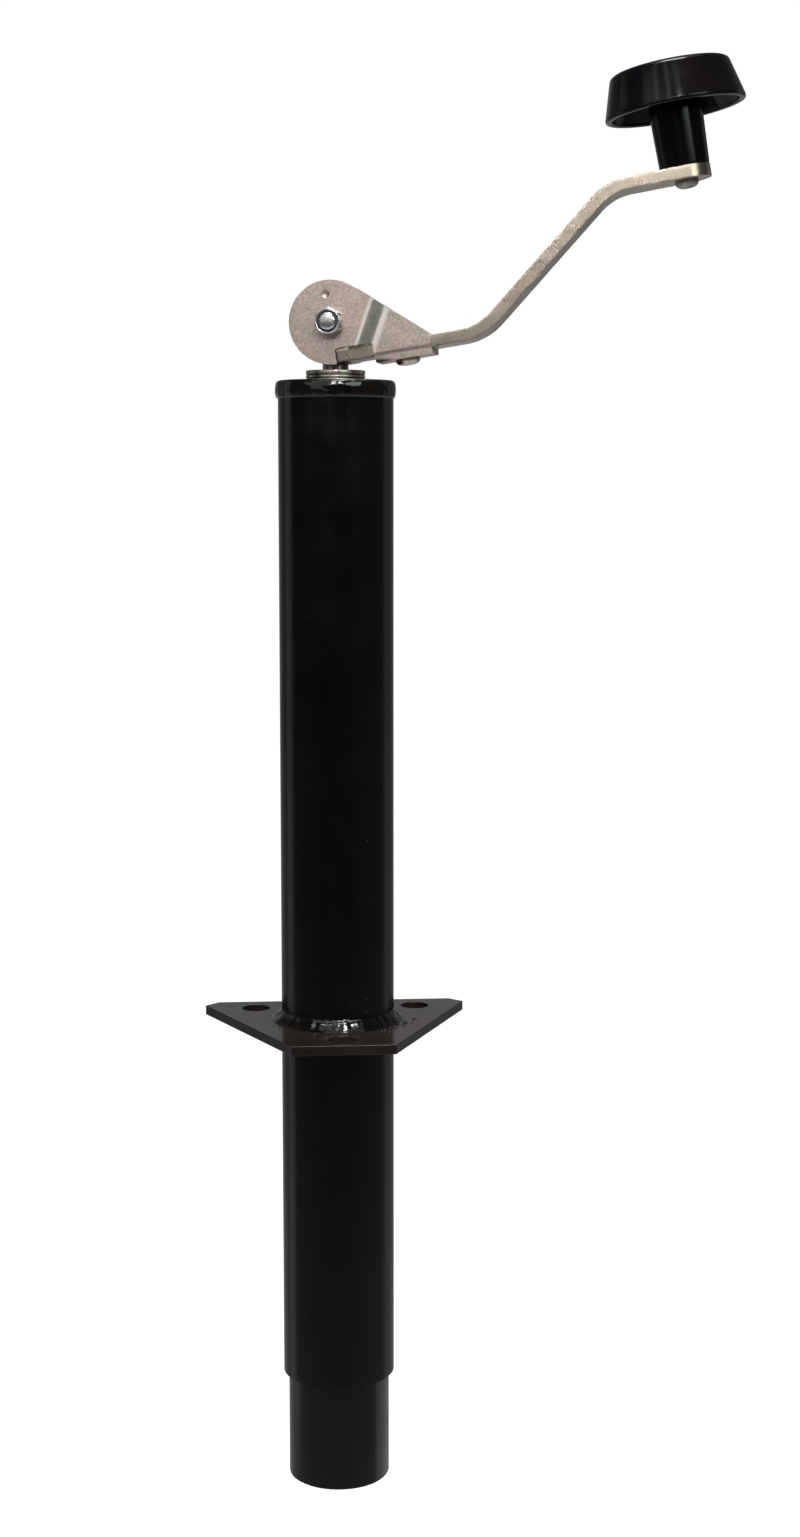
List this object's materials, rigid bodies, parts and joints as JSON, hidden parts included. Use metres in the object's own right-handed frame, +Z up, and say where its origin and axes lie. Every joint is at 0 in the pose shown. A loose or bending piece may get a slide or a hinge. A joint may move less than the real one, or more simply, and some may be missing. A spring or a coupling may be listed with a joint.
{
  "type": "trailer tongue jack",
  "caption": "Top-wind A-frame trailer tongue jack with sliding round tubes, a triangular bolt-on plate and a fold-over crank with a mushroom knob.",
  "frame": {"origin": "centre of the mounting plate's underside, on the tube axis", "axes": "+Z up along the tube, X along the mounting plate's rear edge with the crank on the +X side, -Y towards the single front bolt"},
  "size_m": [0.2615, 0.1065, 0.7137],
  "materials": {
    "black_paint": "gloss black paint over welded steel",
    "zinc_plate": "zinc plating with a faint yellow passivation",
    "bright_zinc": "bright zinc fasteners",
    "bare_steel": "oiled machined steel",
    "bearing_brass": "pressed brass cage",
    "knob_black": "moulded black plastic",
    "nylon": "nylon locking ring"
  },
  "bodies": {
    "housing": {"outer_tube": "black_paint", "top_cap": "black_paint", "cap_weld": "black_paint", "mounting_plate": "black_paint", "plate_weld": "black_paint", "guide_pin": "black_paint", "bearing_upper_race": "bare_steel", "base_washer": "zinc_plate"},
    "ram": {"inner_tube": "black_paint", "foot_disc": "black_paint", "foot_weld": "black_paint", "ram_nut": "bare_steel", "nut_weld": "bare_steel"},
    "screw": {"lead_screw": "bare_steel", "pivot_sleeve": "bare_steel", "staked_washer": "zinc_plate", "wear_washer": "zinc_plate", "thrust_collar": "bare_steel", "collar_pin": "bare_steel", "bearing_lower_race": "bare_steel", "stop_collar": "bare_steel", "stop_pin": "bare_steel"},
    "bearing": {"bearing_cage": "bearing_brass", "bearing_balls": "bare_steel"},
    "handle": {"handle_bracket": "zinc_plate", "crank_arm": "zinc_plate", "arm_rivet": "zinc_plate", "pivot_bolt": "bright_zinc", "pivot_nut": "bright_zinc", "nut_insert": "nylon", "knob_spindle": "zinc_plate"},
    "knob": {"knob": "knob_black"}
  },
  "joints": [
    {"name": "screw_spin", "type": "hinge", "parent": "housing", "child": "screw", "pos_m": [0, 0, 0.3], "axis": [0, 0, -1], "range_deg": [0, 43200]},
    {"name": "ram_slide", "type": "slide", "parent": "housing", "child": "ram", "axis": [0, 0, -1], "range_m": [0, 0.381]},
    {"name": "bearing_spin", "type": "hinge", "parent": "housing", "child": "bearing", "pos_m": [0, 0, 0.3159], "axis": [0, 0, -1], "range_deg": [0, 21600]},
    {"name": "handle_fold", "type": "hinge", "parent": "screw", "child": "handle", "pos_m": [0, 0, 0.3529], "axis": [-0.2079, -0.9781, 0], "range_deg": [0, 218]},
    {"name": "knob_spin", "type": "hinge", "parent": "handle", "child": "knob", "pos_m": [0.16558, -0.03519, 0.425], "axis": [-0.1699, 0.0361, 0.9848], "continuous": true}
  ],
  "couplings": [
    {"joint": "ram_slide", "follows": "screw_spin", "m_per_rad": 0.00050532},
    {"joint": "bearing_spin", "follows": "screw_spin", "ratio": 0.5}
  ]
}
